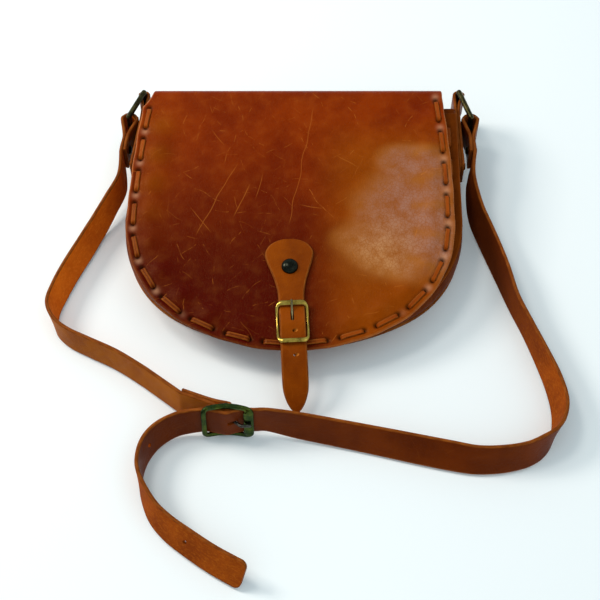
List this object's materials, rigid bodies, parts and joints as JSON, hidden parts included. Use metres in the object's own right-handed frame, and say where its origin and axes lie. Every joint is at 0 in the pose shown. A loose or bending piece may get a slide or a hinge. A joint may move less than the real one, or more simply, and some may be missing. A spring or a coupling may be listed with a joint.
{
  "type": "saddle handbag",
  "caption": "Leather saddle handbag with a rounded laced flap, a buckled closing strap over a press stud, and a buckled shoulder strap on side rings; it lies on its back.",
  "frame": {"origin": "on the back panel's outer face, on the bag's middle line, 108 mm below the top fold", "axes": "+Z out of the back panel towards the flap, +Y to the bag's top fold, +X to the right of someone who looks at the flap"},
  "size_m": [0.3871, 0.4178, 0.0607],
  "materials": {
    "body_leather": "waxed, worn",
    "flap_leather": "waxed, worn",
    "strap_leather": "waxed, worn",
    "thong_leather": "waxed, worn",
    "brass": "polished, worn",
    "antique_brass": "tarnished",
    "stud_cap": "gloss black"
  },
  "bodies": {
    "bag": {"back_panel": "body_leather", "back_lacing": "thong_leather", "gusset": "body_leather", "front_panel": "body_leather", "front_lacing": "thong_leather", "back_fold": "flap_leather", "stud_post": "antique_brass", "stud_back_plate": "antique_brass", "left_ring_tab": "strap_leather", "right_ring_tab": "strap_leather", "tab_rivets": "antique_brass", "left_strap_end": "strap_leather", "right_strap_end": "strap_leather", "strap_rivets": "antique_brass"},
    "bridge": {"flap_bridge": "flap_leather", "front_fold": "flap_leather"},
    "flap": {"flap_panel": "flap_leather", "flap_lacing": "thong_leather", "stud_cap": "stud_cap", "stud_socket": "antique_brass", "closing_strap": "strap_leather", "closure_buckle": "brass"},
    "closure_prong": {"closure_prong": "brass"},
    "left_ring": {"left_ring": "antique_brass"},
    "right_ring": {"right_ring": "antique_brass"},
    "strap": {"left_strap_fall": "strap_leather", "right_strap_fall": "strap_leather", "long_strap": "strap_leather", "short_strap": "strap_leather", "strap_buckle": "antique_brass"},
    "strap_prong": {"strap_prong": "antique_brass"}
  },
  "joints": [
    {"name": "flap_back_fold", "type": "hinge", "parent": "bag", "child": "bridge", "pos_m": [0, 0.108, 0.0072], "axis": [-1, 0, 0], "range_deg": [0, 75], "deforming": ["back_fold"]},
    {"name": "flap_front_fold", "type": "hinge", "parent": "bridge", "child": "flap", "pos_m": [0, 0.108, 0.05289], "axis": [-1, 0, 0], "range_deg": [0, 75], "deforming": ["front_fold"]},
    {"name": "closure_prong_lift", "type": "hinge", "parent": "flap", "child": "closure_prong", "pos_m": [-0.00076, -0.09089, 0.03055], "axis": [0.9988, 0.0482, 0.0076], "range_deg": [0, 20]},
    {"name": "strap_lift", "type": "hinge", "parent": "bag", "child": "strap", "pos_m": [0, 0.10054, 0.026], "axis": [-1, 0, 0], "range_deg": [0, 90], "deforming": ["left_strap_fall", "right_strap_fall"]},
    {"name": "strap_prong_lift", "type": "hinge", "parent": "strap", "child": "strap_prong", "pos_m": [-0.048, -0.1607, 0.016], "axis": [0, -0.2419, -0.9703], "range_deg": [0, 25]},
    {"name": "left_ring_swing", "type": "hinge", "parent": "bag", "child": "left_ring", "pos_m": [-0.12394, 0.12689, 0.026], "axis": [0, 0, 1], "range_deg": [-4, 4]},
    {"name": "right_ring_swing", "type": "hinge", "parent": "bag", "child": "right_ring", "pos_m": [0.1358, 0.127, 0.026], "axis": [0, 0, 1], "range_deg": [-4, 4]}
  ],
  "couplings": [
    {"joint": "flap_front_fold", "follows": "flap_back_fold", "ratio": 1}
  ]
}
